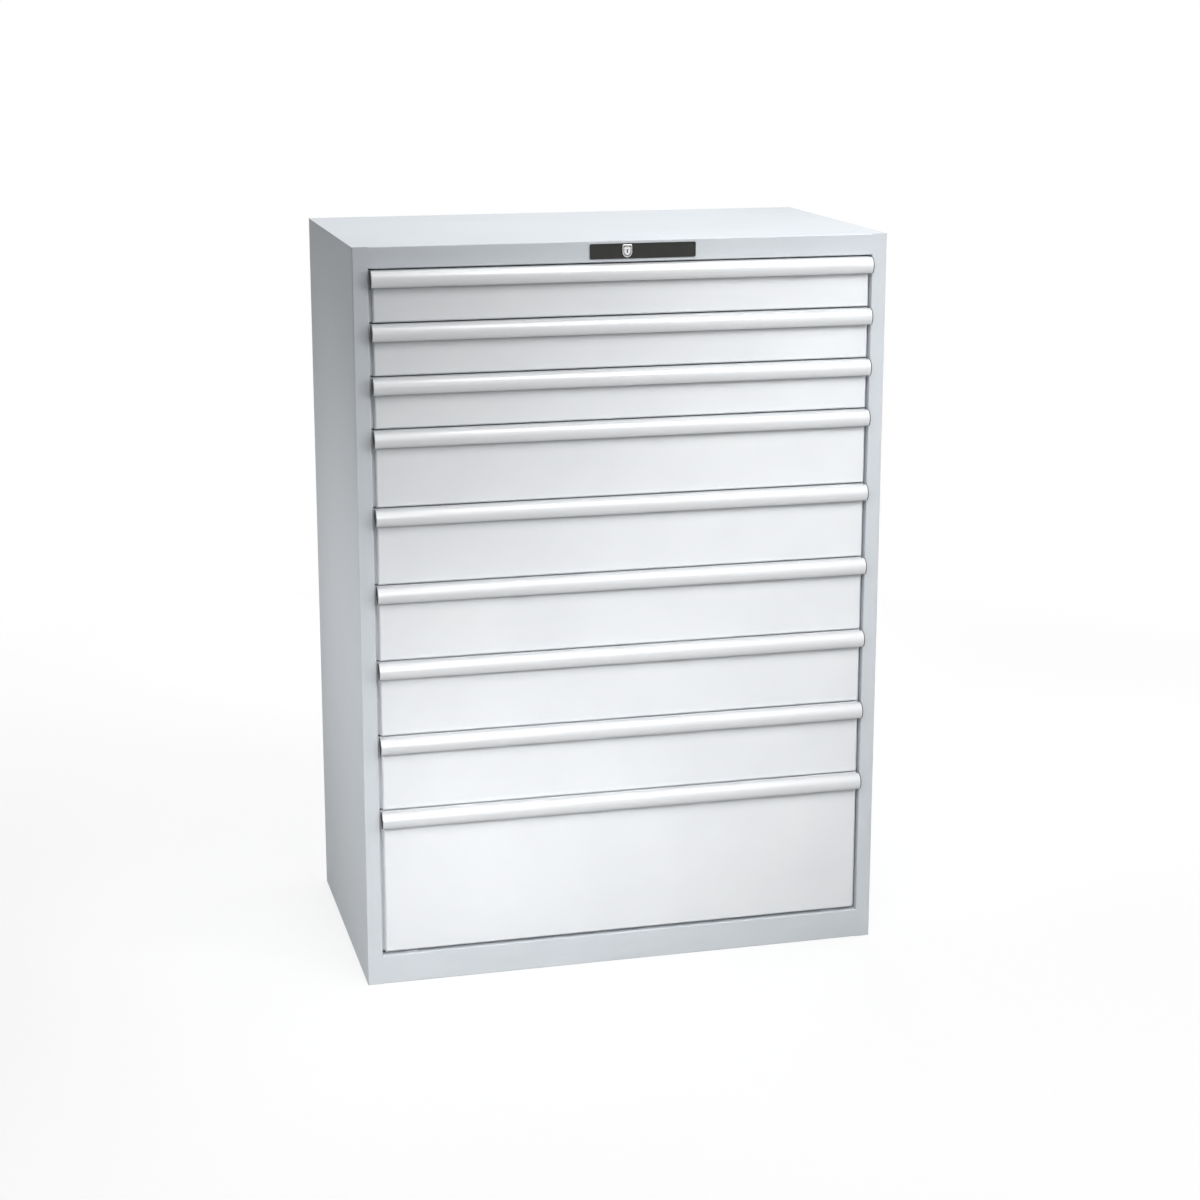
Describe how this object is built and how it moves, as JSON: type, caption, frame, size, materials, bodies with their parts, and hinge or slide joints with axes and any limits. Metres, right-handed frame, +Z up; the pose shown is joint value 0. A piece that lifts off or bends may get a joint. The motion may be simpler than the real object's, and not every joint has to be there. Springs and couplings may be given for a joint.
{
  "type": "multi-drawer cabinet",
  "caption": "Floor-standing sheet-steel drawer cabinet with full-width grip strips, telescopic runners and a central key lock.",
  "frame": {"origin": "on the floor, under the middle of the cabinet's overall box, grip strips included", "axes": "+Z up, drawer fronts face -Y, +X to the right as seen from the front"},
  "size_m": [1.045, 0.608, 1.45],
  "materials": {
    "housing_paint": "satin powder coat",
    "front_paint": "satin powder coat",
    "tray_paint": "satin powder coat",
    "grip_aluminium": "satin anodised",
    "cap_plastic": "moulded",
    "stopper_plastic": "moulded",
    "plate_plastic": "moulded",
    "lock_metal": "satin plated",
    "runner_steel": "zinc plated"
  },
  "bodies": {
    "cabinet": {"left_side_panel": "housing_paint", "right_side_panel": "housing_paint", "rear_panel": "housing_paint", "top_panel": "housing_paint", "base_panel": "housing_paint", "deck_stoppers": "stopper_plastic", "uprights": "runner_steel", "cabinet_rails": "runner_steel", "lock_plate": "plate_plastic", "lock_body": "lock_metal", "bar_guides": "runner_steel", "shaft_hanger": "runner_steel"},
    "lock": {"lock_plug": "lock_metal", "lock_shaft": "runner_steel"},
    "locking_bar": {"locking_bar": "runner_steel"},
    "drawer_1": {"drawer_1_tray": "tray_paint", "drawer_1_front": "front_paint", "drawer_1_grip": "grip_aluminium", "drawer_1_grip_caps": "cap_plastic"},
    "drawer_1_middle_slides": {"drawer_1_middle_slides": "runner_steel"},
    "drawer_2": {"drawer_2_tray": "tray_paint", "drawer_2_front": "front_paint", "drawer_2_grip": "grip_aluminium", "drawer_2_grip_caps": "cap_plastic"},
    "drawer_2_middle_slides": {"drawer_2_middle_slides": "runner_steel"},
    "drawer_3": {"drawer_3_tray": "tray_paint", "drawer_3_front": "front_paint", "drawer_3_grip": "grip_aluminium", "drawer_3_grip_caps": "cap_plastic"},
    "drawer_3_middle_slides": {"drawer_3_middle_slides": "runner_steel"},
    "drawer_4": {"drawer_4_tray": "tray_paint", "drawer_4_front": "front_paint", "drawer_4_grip": "grip_aluminium", "drawer_4_grip_caps": "cap_plastic"},
    "drawer_4_middle_slides": {"drawer_4_middle_slides": "runner_steel"},
    "drawer_5": {"drawer_5_tray": "tray_paint", "drawer_5_front": "front_paint", "drawer_5_grip": "grip_aluminium", "drawer_5_grip_caps": "cap_plastic"},
    "drawer_5_middle_slides": {"drawer_5_middle_slides": "runner_steel"},
    "drawer_6": {"drawer_6_tray": "tray_paint", "drawer_6_front": "front_paint", "drawer_6_grip": "grip_aluminium", "drawer_6_grip_caps": "cap_plastic"},
    "drawer_6_middle_slides": {"drawer_6_middle_slides": "runner_steel"},
    "drawer_7": {"drawer_7_tray": "tray_paint", "drawer_7_front": "front_paint", "drawer_7_grip": "grip_aluminium", "drawer_7_grip_caps": "cap_plastic"},
    "drawer_7_middle_slides": {"drawer_7_middle_slides": "runner_steel"},
    "drawer_8": {"drawer_8_tray": "tray_paint", "drawer_8_front": "front_paint", "drawer_8_grip": "grip_aluminium", "drawer_8_grip_caps": "cap_plastic"},
    "drawer_8_middle_slides": {"drawer_8_middle_slides": "runner_steel"},
    "drawer_9": {"drawer_9_tray": "tray_paint", "drawer_9_front": "front_paint", "drawer_9_grip": "grip_aluminium", "drawer_9_grip_caps": "cap_plastic"},
    "drawer_9_middle_slides": {"drawer_9_middle_slides": "runner_steel"}
  },
  "joints": [
    {"name": "lock_turn", "type": "hinge", "parent": "cabinet", "child": "lock", "pos_m": [0, -0.286, 1.43], "axis": [0, 1, 0], "range_deg": [0, 90]},
    {"name": "locking_bar_lift", "type": "slide", "parent": "cabinet", "child": "locking_bar", "axis": [0, 0, 1], "range_m": [0, 0.01697]},
    {"name": "drawer_1_slide", "type": "slide", "parent": "cabinet", "child": "drawer_1", "axis": [0, -1, 0], "range_m": [0, 0.47]},
    {"name": "drawer_1_middle_slides_slide", "type": "slide", "parent": "cabinet", "child": "drawer_1_middle_slides", "axis": [0, -1, 0], "range_m": [0, 0.235]},
    {"name": "drawer_2_slide", "type": "slide", "parent": "cabinet", "child": "drawer_2", "axis": [0, -1, 0], "range_m": [0, 0.47]},
    {"name": "drawer_2_middle_slides_slide", "type": "slide", "parent": "cabinet", "child": "drawer_2_middle_slides", "axis": [0, -1, 0], "range_m": [0, 0.235]},
    {"name": "drawer_3_slide", "type": "slide", "parent": "cabinet", "child": "drawer_3", "axis": [0, -1, 0], "range_m": [0, 0.47]},
    {"name": "drawer_3_middle_slides_slide", "type": "slide", "parent": "cabinet", "child": "drawer_3_middle_slides", "axis": [0, -1, 0], "range_m": [0, 0.235]},
    {"name": "drawer_4_slide", "type": "slide", "parent": "cabinet", "child": "drawer_4", "axis": [0, -1, 0], "range_m": [0, 0.47]},
    {"name": "drawer_4_middle_slides_slide", "type": "slide", "parent": "cabinet", "child": "drawer_4_middle_slides", "axis": [0, -1, 0], "range_m": [0, 0.235]},
    {"name": "drawer_5_slide", "type": "slide", "parent": "cabinet", "child": "drawer_5", "axis": [0, -1, 0], "range_m": [0, 0.47]},
    {"name": "drawer_5_middle_slides_slide", "type": "slide", "parent": "cabinet", "child": "drawer_5_middle_slides", "axis": [0, -1, 0], "range_m": [0, 0.235]},
    {"name": "drawer_6_slide", "type": "slide", "parent": "cabinet", "child": "drawer_6", "axis": [0, -1, 0], "range_m": [0, 0.47]},
    {"name": "drawer_6_middle_slides_slide", "type": "slide", "parent": "cabinet", "child": "drawer_6_middle_slides", "axis": [0, -1, 0], "range_m": [0, 0.235]},
    {"name": "drawer_7_slide", "type": "slide", "parent": "cabinet", "child": "drawer_7", "axis": [0, -1, 0], "range_m": [0, 0.47]},
    {"name": "drawer_7_middle_slides_slide", "type": "slide", "parent": "cabinet", "child": "drawer_7_middle_slides", "axis": [0, -1, 0], "range_m": [0, 0.235]},
    {"name": "drawer_8_slide", "type": "slide", "parent": "cabinet", "child": "drawer_8", "axis": [0, -1, 0], "range_m": [0, 0.47]},
    {"name": "drawer_8_middle_slides_slide", "type": "slide", "parent": "cabinet", "child": "drawer_8_middle_slides", "axis": [0, -1, 0], "range_m": [0, 0.235]},
    {"name": "drawer_9_slide", "type": "slide", "parent": "cabinet", "child": "drawer_9", "axis": [0, -1, 0], "range_m": [0, 0.47]},
    {"name": "drawer_9_middle_slides_slide", "type": "slide", "parent": "cabinet", "child": "drawer_9_middle_slides", "axis": [0, -1, 0], "range_m": [0, 0.235]}
  ],
  "couplings": [
    {"joint": "lock_turn", "follows": "locking_bar_lift", "rad_per_m": 92.56},
    {"joint": "drawer_1_middle_slides_slide", "follows": "drawer_1_slide", "ratio": 0.5},
    {"joint": "drawer_2_middle_slides_slide", "follows": "drawer_2_slide", "ratio": 0.5},
    {"joint": "drawer_3_middle_slides_slide", "follows": "drawer_3_slide", "ratio": 0.5},
    {"joint": "drawer_4_middle_slides_slide", "follows": "drawer_4_slide", "ratio": 0.5},
    {"joint": "drawer_5_middle_slides_slide", "follows": "drawer_5_slide", "ratio": 0.5},
    {"joint": "drawer_6_middle_slides_slide", "follows": "drawer_6_slide", "ratio": 0.5},
    {"joint": "drawer_7_middle_slides_slide", "follows": "drawer_7_slide", "ratio": 0.5},
    {"joint": "drawer_8_middle_slides_slide", "follows": "drawer_8_slide", "ratio": 0.5},
    {"joint": "drawer_9_middle_slides_slide", "follows": "drawer_9_slide", "ratio": 0.5}
  ]
}
